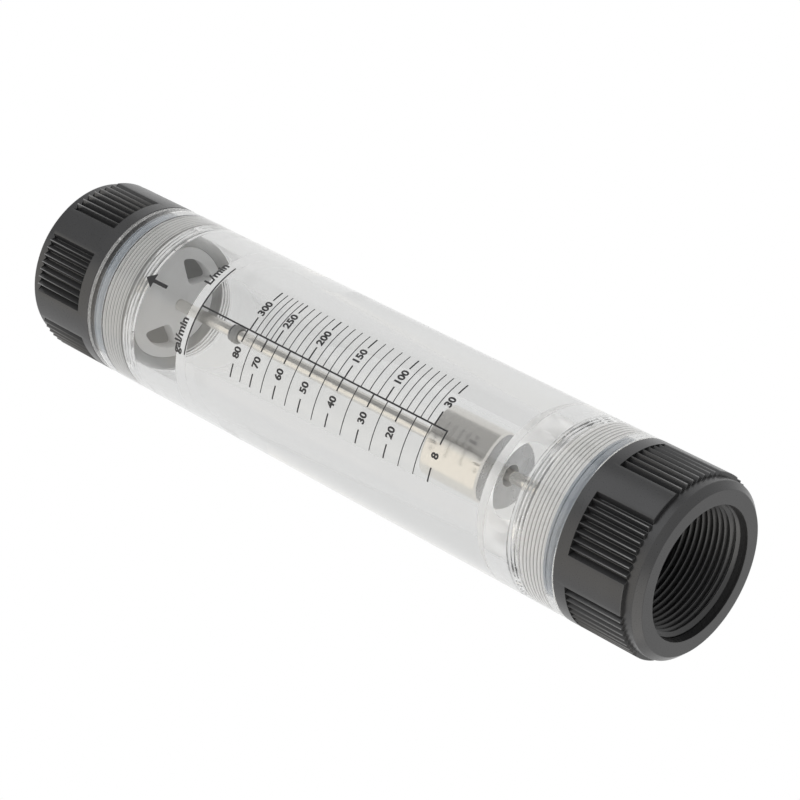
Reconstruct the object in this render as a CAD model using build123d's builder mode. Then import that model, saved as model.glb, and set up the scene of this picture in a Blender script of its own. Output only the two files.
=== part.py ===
from build123d import *
import os
from math import cos, sin, tan, radians

# A clear flow meter that stands on its inlet end, with the flow going up along Z.
# Lengths are in millimetres, and z = 0 is the end face of the inlet fitting.

# Overall lengths
body_length = 228.2          # clear body, end to end
fitting_length = 34.0        # each fitting, outside the body
front_angle = 270.0          # the scale faces -Y

# Pipe thread bore of each fitting, drawn plain at the thread's crests
pipe_thread_minor = 22.42    # G1-1/2
pipe_thread_height = 1.48    # from its crests to its roots
plain_stretch = 2.0          # between the pipe thread's end and the sleeve's socket
mouth_clearance = 0.2        # the mouth over the thread's roots
mouth_depth = 1.3            # straight part of the mouth
mouth_cone = 1.6             # length of the cone from the mouth to the crests
passage_step = 2.9           # the plain passage beyond the thread is this much tighter

# Walls, from the passage outwards
guide_ledge = 2.38           # the guide reaches this far over the passage's edge
guide_clearance = 0.1
spigot_wall = 6.0            # from the guide's pocket to the thread's pitch line
land_step = 1.35             # from the pitch line to the plain land
land_clearance = 0.25        # from the land to the body's seal seat
body_wall = 3.65             # from the seal seat to the outside of the clear body

# Outside of each fitting
neck_length = 5.7
neck_step = 1.55             # the neck is this much below the crests of the ribs
neck_chamfer = 2.3
collar_length = 5.0          # plain band beside the body
rib_zones = 6                # ribbed stretches around a fitting
ribs_per_zone = 8
rib_pitch = 5.0              # degrees from groove to groove
rib_depth = 2.4
rib_crest = 0.24             # flat left on a crest between two grooves
inlet_rib_turn = -11.2       # degrees from the front to the middle of a ribbed stretch
outlet_rib_turn = -21.9

# Threaded sleeve between a fitting and the body, drawn plain at the thread's pitch line
spigot_length = 16.7         # part of a sleeve that is inside the body
shank_length = 5.0           # part of a sleeve that is bonded into the fitting's socket
seal_length = 6.0            # plain seat at the body's end, outside the thread
groove_start = 2.1           # seal groove from the body's end
groove_width = 3.0
ring_squeezed = 2.2          # what the groove leaves the seal ring, from floor to seat
ring_side_gap = 0.1          # beside the seal ring in its groove
ring_corner = 0.7
thread_spare = 5.5           # body thread beyond the spigot's end

# Bores of the clear body
chamber_gap = 4.4            # the chambers are this much wider than a guide
lower_chamber = 11.3         # from the thread to where the chamber narrows
lower_cone = 6.4             # length of its narrowing
lower_mouth = 1.5            # length of the bore's countersunk mouth
mouth_width = 4.65           # the countersink over the bore
upper_chamber = 22.6         # from the thread to the chamber's floor
float_gap = 1.15             # between the float and the bore's narrow end
bore_widening = 3.3          # what the bore gains to its wide end
body_edge = 0.4

# Float guides
guide_thickness = 5.0
guide_edge = 0.4
window_count = 2
window_turn = 84.2           # degrees from the front to the first window
window_apex = 8.0            # the window's inner corner, from the axis
window_ledge = 4.2           # from a window's outer side to the guide's edge
window_half_angle = 34.0
window_corner = 2.2

# Rod and its fastenings
rod_radius = 2.25
rod_end_radius = 2.0         # M4 threaded ends
rod_end_clearance = 0.05
nut_across_flats = 7.0
nut_height = 3.2
washer_radius = 4.5
washer_thickness = 0.8
rod_beyond_nut = 1.5
rod_tip = 0.4

# Rubber stops and the snap rings that back them
stop_thickness = 1.2         # of a stop's wall, from the rod outwards
stop_length = 3.2
stop_edge = 0.5
stop_below_chamber = 8.6     # the upper stop's lower face, from the bore's wide end
clip_width = 1.45            # of a snap ring, from the bottom of its groove
clip_thickness = 0.6
clip_groove = 0.5            # depth of its groove in the rod
clip_gap = 60.0              # degrees of the ring that are left open

# Float
float_radius = 13.0
float_above_mouth = 5.0      # from the bore's narrow end, at rest on the lower stop
float_length = 26.5
float_top_edge = 1.6
float_low_edge = 0.7
recess_clearance = 0.6       # around the lower stop
recess_depth = 9.0
bush_clearance = 0.05        # running fit on the rod
bush_wall = 0.9
bush_length = 6.0
bush_flange_width = 0.7
bush_flange_thickness = 1.2

# Radii that follow, from the inside out
pipe_thread_major = pipe_thread_minor + pipe_thread_height
mouth_radius = pipe_thread_major + mouth_clearance
passage_radius = pipe_thread_minor - passage_step
guide_radius = passage_radius + guide_ledge
seat_radius = guide_radius + guide_clearance
body_thread_radius = seat_radius + spigot_wall
spigot_land = body_thread_radius + land_step
seal_bore = spigot_land + land_clearance
groove_floor = seal_bore - ring_squeezed
body_radius = seal_bore + body_wall
groove_floor_radius = body_radius - rib_depth
neck_radius = body_radius - neck_step
chamber_radius = guide_radius + chamber_gap
bore_start_radius = float_radius + float_gap
bore_end_radius = bore_start_radius + bore_widening
lower_step_radius = bore_start_radius + mouth_width
window_rim = guide_radius - window_ledge
stop_radius = rod_radius + stop_thickness
clip_groove_radius = rod_radius - clip_groove
clip_radius = clip_groove_radius + clip_width
recess_radius = stop_radius + recess_clearance
bush_bore = rod_radius + bush_clearance
bush_radius = bush_bore + bush_wall
bush_flange = bush_radius + bush_flange_width

# Heights that follow
body_low = fitting_length
body_high = body_low + body_length
total_length = body_high + fitting_length
spigot_low_end = body_low + spigot_length
spigot_high_end = body_high - spigot_length
thread_low_end = spigot_low_end + thread_spare
thread_high_end = spigot_high_end - thread_spare
lower_guide_high = spigot_low_end
lower_guide_low = lower_guide_high - guide_thickness
upper_guide_low = spigot_high_end
upper_guide_high = upper_guide_low + guide_thickness
lower_cone_start = thread_low_end + lower_chamber
lower_step = lower_cone_start + lower_cone
bore_start = lower_step + lower_mouth
bore_end = thread_high_end - upper_chamber
float_low = bore_start + float_above_mouth
float_high = float_low + float_length
recess_floor = float_low + recess_depth
lower_stop_high = recess_floor - bush_flange_thickness
lower_stop_low = lower_stop_high - stop_length
upper_stop_low = bore_end - stop_below_chamber
upper_stop_high = upper_stop_low + stop_length

os.makedirs("parts", exist_ok=True)


def up_from(base, points):
    # a profile measured from the object's lower end face, going up
    return [(r, base + z) for r, z in points]


def down_from(base, points):
    # the same profile turned over, going down from the object's other end
    return [(r, base - z) for r, z in points]


# Half sections of a fitting and its sleeve: radius, and distance from the object's end face
socket_floor = fitting_length - shank_length
pipe_thread_depth = socket_floor - plain_stretch

fitting_section = [
    (mouth_radius, 0.0),
    (neck_radius - neck_chamfer, 0.0),
    (neck_radius, neck_chamfer),
    (neck_radius, neck_length),
    (body_radius, neck_length),
    (body_radius, fitting_length),
    (seat_radius, fitting_length),
    (seat_radius, socket_floor),
    (passage_radius, socket_floor),
    (passage_radius, pipe_thread_depth),
    (pipe_thread_minor, pipe_thread_depth),
    (pipe_thread_minor, mouth_depth + mouth_cone),
    (mouth_radius, mouth_depth),
]

sleeve_section = [
    (passage_radius, socket_floor),
    (seat_radius, socket_floor),
    (seat_radius, fitting_length),
    (spigot_land, fitting_length),
    (spigot_land, fitting_length + groove_start),
    (groove_floor, fitting_length + groove_start),
    (groove_floor, fitting_length + groove_start + groove_width),
    (spigot_land, fitting_length + groove_start + groove_width),
    (spigot_land, fitting_length + seal_length),
    (body_thread_radius, fitting_length + seal_length),
    (body_thread_radius, fitting_length + spigot_length),
    (seat_radius, fitting_length + spigot_length),
    (seat_radius, fitting_length + spigot_length - guide_thickness),
    (passage_radius, fitting_length + spigot_length - guide_thickness),
]

# The V shape cut between two ribs, from its floor outwards past the crests
ribbed_length = fitting_length - collar_length - neck_length
groove_half_width = body_radius * tan(radians(rib_pitch / 2)) - rib_crest / 2
groove_overrun = 0.6
groove_top = rib_depth + groove_overrun
groove_top_half = groove_half_width * groove_top / rib_depth
groove_shape = [(0.0, 0.0), (groove_top, -groove_top_half), (groove_top, groove_top_half)]
zone_angle = rib_pitch * ribs_per_zone
zone_pitch = 360.0 / rib_zones
first_groove = -zone_angle / 2 + rib_pitch / 2

# Inlet fitting: one moulding with ribs for gripping, a pipe thread and a socket for its sleeve
with BuildPart() as inlet_fitting:
    with BuildSketch(Plane.XZ):
        with BuildLine():
            Polyline(up_from(0.0, fitting_section), close=True)
        make_face()
    revolve(axis=Axis.Z)
    with BuildSketch(Plane.XY.offset(neck_length)):
        for zone in range(rib_zones):
            middle = front_angle + inlet_rib_turn + zone * zone_pitch
            with PolarLocations(groove_floor_radius, ribs_per_zone, middle + first_groove, zone_angle):
                Polygon(groove_shape, align=None)
    extrude(amount=ribbed_length, mode=Mode.SUBTRACT)
inlet_fitting.part.label = "inlet_fitting"
export_step(inlet_fitting.part, "parts/inlet_fitting.step")

# Outlet fitting: the same moulding turned over at the other end
with BuildPart() as outlet_fitting:
    with BuildSketch(Plane.XZ):
        with BuildLine():
            Polyline(down_from(total_length, fitting_section), close=True)
        make_face()
    revolve(axis=Axis.Z)
    with BuildSketch(Plane.XY.offset(body_high + collar_length)):
        for zone in range(rib_zones):
            middle = front_angle + outlet_rib_turn + zone * zone_pitch
            with PolarLocations(groove_floor_radius, ribs_per_zone, middle + first_groove, zone_angle):
                Polygon(groove_shape, align=None)
    extrude(amount=ribbed_length, mode=Mode.SUBTRACT)
outlet_fitting.part.label = "outlet_fitting"
export_step(outlet_fitting.part, "parts/outlet_fitting.step")

# Sleeves: threaded rings that carry the guides and join the fittings to the body
with BuildPart() as inlet_sleeve:
    with BuildSketch(Plane.XZ):
        with BuildLine():
            Polyline(up_from(0.0, sleeve_section), close=True)
        make_face()
    revolve(axis=Axis.Z)
inlet_sleeve.part.label = "inlet_sleeve"
export_step(inlet_sleeve.part, "parts/inlet_sleeve.step")

with BuildPart() as outlet_sleeve:
    with BuildSketch(Plane.XZ):
        with BuildLine():
            Polyline(down_from(total_length, sleeve_section), close=True)
        make_face()
    revolve(axis=Axis.Z)
outlet_sleeve.part.label = "outlet_sleeve"
export_step(outlet_sleeve.part, "parts/outlet_sleeve.step")

# Clear body: a turned bar with a slowly widening bore between two chambers
body_section = [
    (body_radius - body_edge, body_low),
    (body_radius, body_low + body_edge),
    (body_radius, body_high - body_edge),
    (body_radius - body_edge, body_high),
    (seal_bore, body_high),
    (seal_bore, body_high - seal_length),
    (body_thread_radius, body_high - seal_length),
    (body_thread_radius, thread_high_end),
    (chamber_radius, thread_high_end),
    (chamber_radius, bore_end),
    (bore_end_radius, bore_end),
    (bore_start_radius, bore_start),
    (lower_step_radius, lower_step),
    (chamber_radius, lower_cone_start),
    (chamber_radius, thread_low_end),
    (body_thread_radius, thread_low_end),
    (body_thread_radius, body_low + seal_length),
    (seal_bore, body_low + seal_length),
    (seal_bore, body_low),
]

with BuildPart() as body_tube:
    with BuildSketch(Plane.XZ):
        with BuildLine():
            Polyline(body_section, close=True)
        make_face()
    revolve(axis=Axis.Z)
body_tube.part.label = "body_tube"
export_step(body_tube.part, "parts/body_tube.step")

# Seal rings, drawn as squeezed between the groove's floor and the body's seat
ring_middle = groove_start + groove_width / 2
ring_width = groove_width - 2 * ring_side_gap

with BuildPart() as inlet_o_ring:
    with BuildSketch(Plane.XZ) as inlet_o_ring_section:
        with Locations((groove_floor + ring_squeezed / 2, body_low + ring_middle)):
            Rectangle(ring_squeezed, ring_width)
        chamfer(inlet_o_ring_section.vertices(), ring_corner)
    revolve(axis=Axis.Z)
inlet_o_ring.part.label = "inlet_o_ring"
export_step(inlet_o_ring.part, "parts/inlet_o_ring.step")

with BuildPart() as outlet_o_ring:
    with BuildSketch(Plane.XZ) as outlet_o_ring_section:
        with Locations((groove_floor + ring_squeezed / 2, body_high - ring_middle)):
            Rectangle(ring_squeezed, ring_width)
        chamfer(outlet_o_ring_section.vertices(), ring_corner)
    revolve(axis=Axis.Z)
outlet_o_ring.part.label = "outlet_o_ring"
export_step(outlet_o_ring.part, "parts/outlet_o_ring.step")

# One window of a guide: pointed towards the hub and round at the rim
window_x = window_rim * cos(radians(window_half_angle))
window_y = window_rim * sin(radians(window_half_angle))

with BuildSketch() as window:
    with BuildLine():
        Line((window_apex, 0), (window_x, -window_y))
        ThreePointArc((window_x, -window_y), (window_rim, 0), (window_x, window_y))
        Line((window_x, window_y), (window_apex, 0))
    make_face()
    fillet(window.vertices(), window_corner)

# Guides: round plates with two windows, each in the pocket of a sleeve's end
with BuildPart() as lower_guide:
    with BuildSketch(Plane.XY.offset(lower_guide_low)):
        Circle(guide_radius)
        Circle(rod_end_radius + rod_end_clearance, mode=Mode.SUBTRACT)
        with PolarLocations(0, window_count, front_angle + window_turn):
            add(window.sketch, mode=Mode.SUBTRACT)
    extrude(amount=guide_thickness)
    lower_rims = lower_guide.edges().filter_by(GeomType.CIRCLE)
    chamfer(lower_rims.filter_by(lambda e: abs(e.radius - guide_radius) < 0.01), guide_edge)
lower_guide.part.label = "lower_guide"
export_step(lower_guide.part, "parts/lower_guide.step")

with BuildPart() as upper_guide:
    with BuildSketch(Plane.XY.offset(upper_guide_low)):
        Circle(guide_radius)
        Circle(rod_end_radius + rod_end_clearance, mode=Mode.SUBTRACT)
        with PolarLocations(0, window_count, front_angle + window_turn):
            add(window.sketch, mode=Mode.SUBTRACT)
    extrude(amount=guide_thickness)
    upper_rims = upper_guide.edges().filter_by(GeomType.CIRCLE)
    chamfer(upper_rims.filter_by(lambda e: abs(e.radius - guide_radius) < 0.01), guide_edge)
upper_guide.part.label = "upper_guide"
export_step(upper_guide.part, "parts/upper_guide.step")

# Rod: shouldered against both guides, with a groove behind each rubber stop
rod_low = lower_guide_low - washer_thickness - nut_height - rod_beyond_nut
rod_high = upper_guide_high + washer_thickness + nut_height + rod_beyond_nut

rod_section = [
    (0.0, rod_low),
    (rod_end_radius - rod_tip, rod_low),
    (rod_end_radius, rod_low + rod_tip),
    (rod_end_radius, lower_guide_high),
    (rod_radius, lower_guide_high),
    (rod_radius, lower_stop_low - clip_thickness),
    (clip_groove_radius, lower_stop_low - clip_thickness),
    (clip_groove_radius, lower_stop_low),
    (rod_radius, lower_stop_low),
    (rod_radius, upper_stop_high),
    (clip_groove_radius, upper_stop_high),
    (clip_groove_radius, upper_stop_high + clip_thickness),
    (rod_radius, upper_stop_high + clip_thickness),
    (rod_radius, upper_guide_low),
    (rod_end_radius, upper_guide_low),
    (rod_end_radius, rod_high - rod_tip),
    (rod_end_radius - rod_tip, rod_high),
    (0.0, rod_high),
]

with BuildPart() as guide_rod:
    with BuildSketch(Plane.XZ):
        with BuildLine():
            Polyline(rod_section, close=True)
        make_face()
    revolve(axis=Axis.Z)
guide_rod.part.label = "guide_rod"
export_step(guide_rod.part, "parts/guide_rod.step")

# Washers and nuts on the rod's ends
with BuildPart() as lower_washer:
    with BuildSketch(Plane.XY.offset(lower_guide_low - washer_thickness)):
        Circle(washer_radius)
        Circle(rod_end_radius + rod_end_clearance, mode=Mode.SUBTRACT)
    extrude(amount=washer_thickness)
lower_washer.part.label = "lower_washer"
export_step(lower_washer.part, "parts/lower_washer.step")

with BuildPart() as upper_washer:
    with BuildSketch(Plane.XY.offset(upper_guide_high)):
        Circle(washer_radius)
        Circle(rod_end_radius + rod_end_clearance, mode=Mode.SUBTRACT)
    extrude(amount=washer_thickness)
upper_washer.part.label = "upper_washer"
export_step(upper_washer.part, "parts/upper_washer.step")

with BuildPart() as lower_nut:
    with BuildSketch(Plane.XY.offset(lower_guide_low - washer_thickness - nut_height)):
        RegularPolygon(nut_across_flats / 2, 6, major_radius=False)
        Circle(rod_end_radius, mode=Mode.SUBTRACT)
    extrude(amount=nut_height)
lower_nut.part.label = "lower_nut"
export_step(lower_nut.part, "parts/lower_nut.step")

with BuildPart() as upper_nut:
    with BuildSketch(Plane.XY.offset(upper_guide_high + washer_thickness)):
        RegularPolygon(nut_across_flats / 2, 6, major_radius=False)
        Circle(rod_end_radius, mode=Mode.SUBTRACT)
    extrude(amount=nut_height)
upper_nut.part.label = "upper_nut"
export_step(upper_nut.part, "parts/upper_nut.step")

# Rubber stops that grip the rod
with BuildPart() as lower_stop:
    with BuildSketch(Plane.XY.offset(lower_stop_low)):
        Circle(stop_radius)
        Circle(rod_radius, mode=Mode.SUBTRACT)
    extrude(amount=stop_length)
    lower_stop_rims = lower_stop.edges().filter_by(GeomType.CIRCLE)
    chamfer(lower_stop_rims.filter_by(lambda e: abs(e.radius - stop_radius) < 0.01), stop_edge)
lower_stop.part.label = "lower_stop"
export_step(lower_stop.part, "parts/lower_stop.step")

with BuildPart() as upper_stop:
    with BuildSketch(Plane.XY.offset(upper_stop_low)):
        Circle(stop_radius)
        Circle(rod_radius, mode=Mode.SUBTRACT)
    extrude(amount=stop_length)
    upper_stop_rims = upper_stop.edges().filter_by(GeomType.CIRCLE)
    chamfer(upper_stop_rims.filter_by(lambda e: abs(e.radius - stop_radius) < 0.01), stop_edge)
upper_stop.part.label = "upper_stop"
export_step(upper_stop.part, "parts/upper_stop.step")

# The wedge that opens a snap ring
gap_reach = 2 * clip_radius
gap_half = gap_reach * tan(radians(clip_gap / 2))

with BuildPart() as lower_clip:
    with BuildSketch(Plane.XY.offset(lower_stop_low - clip_thickness)):
        Circle(clip_radius)
        Circle(clip_groove_radius, mode=Mode.SUBTRACT)
        Polygon((0, 0), (gap_reach, -gap_half), (gap_reach, gap_half), align=None, mode=Mode.SUBTRACT)
    extrude(amount=clip_thickness)
lower_clip.part.label = "lower_clip"
export_step(lower_clip.part, "parts/lower_clip.step")

with BuildPart() as upper_clip:
    with BuildSketch(Plane.XY.offset(upper_stop_high)):
        Circle(clip_radius)
        Circle(clip_groove_radius, mode=Mode.SUBTRACT)
        Polygon((0, 0), (gap_reach, -gap_half), (gap_reach, gap_half), align=None, mode=Mode.SUBTRACT)
    extrude(amount=clip_thickness)
upper_clip.part.label = "upper_clip"
export_step(upper_clip.part, "parts/upper_clip.step")

# Float: a turned steel slug whose recess drops over the lower stop
with BuildPart() as float_body:
    with BuildSketch(Plane.XY.offset(float_low)):
        Circle(float_radius)
    extrude(amount=float_length)
    fillet(float_body.edges().group_by(Axis.Z)[-1], float_top_edge)
    chamfer(float_body.edges().group_by(Axis.Z)[0], float_low_edge)
    with BuildSketch(Plane.XY.offset(float_low)):
        Circle(bush_radius)
    extrude(amount=float_length, mode=Mode.SUBTRACT)
    with BuildSketch(Plane.XY.offset(float_low)):
        Circle(recess_radius)
    extrude(amount=recess_depth, mode=Mode.SUBTRACT)
    with BuildSketch(Plane.XY.offset(float_high - bush_flange_thickness)):
        Circle(bush_flange)
    extrude(amount=bush_flange_thickness, mode=Mode.SUBTRACT)
float_body.part.label = "float_body"
export_step(float_body.part, "parts/float_body.step")

# Flanged bushes pressed into both ends of the float's bore
with BuildPart() as float_lower_bush:
    with BuildSketch(Plane.XY.offset(lower_stop_high)):
        Circle(bush_flange)
    extrude(amount=bush_flange_thickness)
    with BuildSketch(Plane.XY.offset(recess_floor)):
        Circle(bush_radius)
    extrude(amount=bush_length - bush_flange_thickness)
    with BuildSketch(Plane.XY.offset(lower_stop_high)):
        Circle(bush_bore)
    extrude(amount=bush_length, mode=Mode.SUBTRACT)
float_lower_bush.part.label = "float_lower_bush"
export_step(float_lower_bush.part, "parts/float_lower_bush.step")

with BuildPart() as float_upper_bush:
    with BuildSketch(Plane.XY.offset(float_high - bush_flange_thickness)):
        Circle(bush_flange)
    extrude(amount=bush_flange_thickness)
    with BuildSketch(Plane.XY.offset(float_high - bush_length)):
        Circle(bush_radius)
    extrude(amount=bush_length - bush_flange_thickness)
    with BuildSketch(Plane.XY.offset(float_high - bush_length)):
        Circle(bush_bore)
    extrude(amount=bush_length, mode=Mode.SUBTRACT)
float_upper_bush.part.label = "float_upper_bush"
export_step(float_upper_bush.part, "parts/float_upper_bush.step")
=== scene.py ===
import bpy
import bmesh
import numpy as np
from math import pi, radians
from mathutils import Matrix, Vector


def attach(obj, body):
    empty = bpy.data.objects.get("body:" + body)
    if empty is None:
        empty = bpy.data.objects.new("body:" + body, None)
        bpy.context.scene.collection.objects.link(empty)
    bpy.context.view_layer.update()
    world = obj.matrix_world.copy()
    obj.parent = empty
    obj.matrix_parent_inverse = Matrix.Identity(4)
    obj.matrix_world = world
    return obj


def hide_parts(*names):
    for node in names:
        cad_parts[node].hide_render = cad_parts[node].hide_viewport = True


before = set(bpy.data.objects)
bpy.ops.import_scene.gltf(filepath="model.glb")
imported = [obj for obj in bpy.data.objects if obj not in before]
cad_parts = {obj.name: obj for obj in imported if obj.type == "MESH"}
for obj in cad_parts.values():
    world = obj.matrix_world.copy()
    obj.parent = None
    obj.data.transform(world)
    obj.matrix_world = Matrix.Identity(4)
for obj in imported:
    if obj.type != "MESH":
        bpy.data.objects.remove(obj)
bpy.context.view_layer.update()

scene = bpy.context.scene
mm = 0.001   # shapes are worked out in millimetres and stored in metres
print("frame loaded")


# Shapes

def quadGrid(rows, columns):
    # every cell of a grid whose last column joins its first, turned to face away from a profile that climbs outside
    grid = np.arange(rows * columns).reshape(rows, columns)
    onward = np.roll(grid, -1, axis=1)
    return np.stack([grid[:-1], onward[:-1], onward[1:], grid[1:]], axis=-1).reshape(-1, 4)


def evenTurns(columns):
    # angles of the columns, evenly round the axis
    return 2 * pi * np.arange(columns) / columns


def ringPoints(radius, height, turns):
    # x = radius times cosine of the turn, y = radius times its sine, z = height
    radius, height, turns = np.broadcast_arrays(radius, height, turns)
    return np.stack([radius * np.cos(turns), radius * np.sin(turns), height], axis=-1).reshape(-1, 3)


def held(profile, reach=0.08):
    # a point beside each end of every long straight, so that a corner's soft normals stay at the corner
    p = np.array(profile, float)
    step = p[1:] - p[:-1]
    length = np.linalg.norm(step, axis=1)
    points = [p[:1]]
    for start, end, way, size in zip(p[:-1], p[1:], step, length):
        if size > 5 * reach:
            points.append(np.stack([start + way * reach / size, end - way * reach / size]))
        points.append(end[None])
    return np.concatenate(points)


def turnedPatch(profile, turns):
    # each (radius, height) of the profile carried once round the axis
    profile = held(profile)
    points = ringPoints(profile[:, :1], profile[:, 1:], turns[None, :])
    return points, quadGrid(len(profile), len(turns))


def shapedPatch(radii, heights, turns):
    # a row of radii for each height, one radius for each column
    heights = np.array(heights, float)[:, None]
    return ringPoints(np.array(radii, float), heights, turns[None, :]), quadGrid(len(heights), len(turns))


def threadPatch(thread, turns, down=False):
    # helix grid: height = datum + pitch * (turn number + place in the tooth + turn / 2 pi), held between low and high
    # radius = root + depth * tooth height, with the depth eased to nothing at both ends
    tooth = np.array(thread["tooth"], float)
    m, n = len(tooth), len(turns)
    low, high, pitch = thread["low"], thread["high"], thread["pitch"]
    firstTurn = np.floor((low - thread["datum"]) / pitch) - 1
    turnCount = int(np.ceil((high - low) / pitch)) + 3
    row = np.arange(turnCount * m)
    place = firstTurn + row // m + tooth[row % m, 0]
    height = thread["datum"] + pitch * (place[:, None] + turns[None, :] / (2 * pi))
    ease = np.clip((height - low) / thread["ease"], 0, 1) * np.clip((high - height) / thread["ease"], 0, 1)
    toothHeight = tooth[row % m, 1][:, None]
    if thread["inside"]:
        radius = thread["major"] - (thread["major"] - thread["minor"]) * (1 - toothHeight) * ease
    else:
        radius = thread["minor"] + (thread["major"] - thread["minor"]) * toothHeight * ease
    points = ringPoints(radius, np.clip(height, low, high), turns[None, :])
    grid = np.arange(turnCount * m * n).reshape(-1, n)
    cells = np.stack([grid[:-1, :-1], grid[:-1, 1:], grid[1:, 1:], grid[1:, :-1]], -1).reshape(-1, 4)
    last, start = grid[:-m, -1], grid[m:, 0]   # the last column meets the first one turn further up
    seam = np.stack([last[:-1], start[:-1], start[1:], last[1:]], -1)
    faces = np.concatenate([cells, seam])
    return points, faces[:, ::-1] if down else faces


def eased(profile, cut=0.25, steps=4, closed=False):
    # each corner gives way to a short curve: (1-t)^2 A + 2t(1-t) P + t^2 B between the points A and B beside it
    p = np.array(profile, float)
    before, after = np.roll(p, 1, axis=0), np.roll(p, -1, axis=0)
    lengthBefore = np.linalg.norm(before - p, axis=1, keepdims=True)
    lengthAfter = np.linalg.norm(after - p, axis=1, keepdims=True)
    a = p + (before - p) * np.minimum(cut / lengthBefore, 0.4)
    b = p + (after - p) * np.minimum(cut / lengthAfter, 0.4)
    t = np.linspace(0, 1, steps)[None, :, None]
    curve = (1 - t) ** 2 * a[:, None] + 2 * t * (1 - t) * p[:, None] + t ** 2 * b[:, None]
    if closed:
        return curve.reshape(-1, 2)
    return np.concatenate([p[:1], curve[1:-1].reshape(-1, 2), p[-1:]])


def closedTurn(profile, turns, cut=0.25):
    # a whole turned solid: the eased section, its first point added again at its end
    ring = eased(profile, cut, closed=True)
    return turnedPatch(np.concatenate([ring, ring[:1]]), turns)


def poledTurn(profile, turns, cut=0.25):
    # a turned solid whose section starts and ends on the axis
    return turnedPatch(eased(profile, cut), turns)


def makePiece(name, patches, material, body, instead=(), sharpAngle=33.0):
    # the patches in one mesh, their shared rings merged, with hard edges where faces meet sharply
    starts = np.cumsum([0] + [len(patch[0]) for patch in patches])
    points = np.concatenate([patch[0] for patch in patches]) * mm
    faces = np.concatenate([patch[1] + start for patch, start in zip(patches, starts)])
    mesh = bpy.data.meshes.new(name)
    mesh.from_pydata(points.tolist(), [], faces.tolist())
    work = bmesh.new()
    work.from_mesh(mesh)
    bmesh.ops.remove_doubles(work, verts=work.verts, dist=1.2e-6)
    bmesh.ops.dissolve_degenerate(work, edges=work.edges, dist=1e-7)
    work.to_mesh(mesh)
    work.free()
    return finishPiece(bpy.data.objects.new(name, mesh), material, body, instead, sharpAngle)


def finishPiece(piece, material, body, instead=(), sharpAngle=33.0):
    # smooth faces, hard edges past the angle, then the body it moves with and the solids it stands for
    mesh = piece.data
    if piece.name not in scene.collection.objects:
        scene.collection.objects.link(piece)
    mesh.polygons.foreach_set("use_smooth", np.ones(len(mesh.polygons), bool))
    mesh.set_sharp_from_angle(angle=radians(sharpAngle))
    mesh.materials.clear()
    mesh.materials.append(material)
    mesh.update()
    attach(piece, body)
    if instead:
        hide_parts(*instead)
    return piece


def giveZone(piece, material, zone):
    # a further finish for the faces whose centres lie in a zone: inner and outer radius, lower and upper height
    inner, outer, low, high = zone
    mesh = piece.data
    mesh.materials.append(material)
    centres = np.empty(len(mesh.polygons) * 3)
    mesh.polygons.foreach_get("center", centres)
    x, y, height = centres.reshape(-1, 3).T / mm
    radius = np.hypot(x, y)
    chosen = (radius > inner) & (radius < outer) & (height > low) & (height < high)
    numbers = np.empty(len(mesh.polygons), np.int32)
    mesh.polygons.foreach_get("material_index", numbers)
    mesh.polygons.foreach_set("material_index", np.where(chosen, len(mesh.materials) - 1, numbers))


def curveMesh(name, curve):
    # what a flat filled curve comes to as a mesh
    carrier = bpy.data.objects.new(name + "Line", curve)
    scene.collection.objects.link(carrier)
    bpy.context.view_layer.update()
    mesh = bpy.data.meshes.new_from_object(carrier.evaluated_get(bpy.context.evaluated_depsgraph_get()))
    bpy.data.objects.remove(carrier)
    mesh.name = name
    return mesh


def addOutline(curve, line):
    # one closed outline, given in millimetres, added to a flat curve
    spline = curve.splines.new("POLY")
    spline.points.add(len(line) - 1)
    flat = np.concatenate([line * mm, np.zeros((len(line), 1)), np.ones((len(line), 1))], axis=1)
    spline.points.foreach_set("co", flat.ravel())
    spline.use_cyclic_u = True


# Finishes

def startMaterial(name, settings):
    # a shader with its own constant values, and the nodes to work with
    material = bpy.data.materials.new(name)
    material.use_nodes = True
    nodes = material.node_tree.nodes
    shader = nodes["Principled BSDF"]
    for socket, value in settings.items():
        shader.inputs[socket].default_value = value
    return material, nodes, material.node_tree.links, shader


def spread(nodes, links, scale, detail=3.0, stretch=(1, 1, 1)):
    # noise on the object's own coordinates; the scale is in cycles per metre
    place = nodes.new("ShaderNodeTexCoord")
    mapping = nodes.new("ShaderNodeMapping")
    mapping.inputs["Scale"].default_value = stretch
    noise = nodes.new("ShaderNodeTexNoise")
    noise.inputs["Scale"].default_value = scale
    noise.inputs["Detail"].default_value = detail
    links.new(place.outputs["Object"], mapping.inputs["Vector"])
    links.new(mapping.outputs["Vector"], noise.inputs["Vector"])
    return noise


def colourRamp(nodes, links, source, low, high, start=0.3, end=0.7):
    # two colours over a range of the source
    ramp = nodes.new("ShaderNodeValToRGB")
    ramp.color_ramp.elements[0].position = start
    ramp.color_ramp.elements[1].position = end
    ramp.color_ramp.elements[0].color = (*low, 1)
    ramp.color_ramp.elements[1].color = (*high, 1)
    links.new(source, ramp.inputs["Fac"])
    return ramp.outputs["Color"]


def valueRange(nodes, links, source, low, high, start=0.3, end=0.7):
    # a number over a range of the source
    change = nodes.new("ShaderNodeMapRange")
    change.inputs["From Min"].default_value = start
    change.inputs["From Max"].default_value = end
    change.inputs["To Min"].default_value = low
    change.inputs["To Max"].default_value = high
    links.new(source, change.inputs["Value"])
    return change.outputs["Result"]


def addBump(nodes, links, shader, source, strength, distance):
    # relief from the source
    bump = nodes.new("ShaderNodeBump")
    bump.inputs["Strength"].default_value = strength
    bump.inputs["Distance"].default_value = distance
    links.new(source, bump.inputs["Height"])
    links.new(bump.outputs["Normal"], shader.inputs["Normal"])


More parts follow.
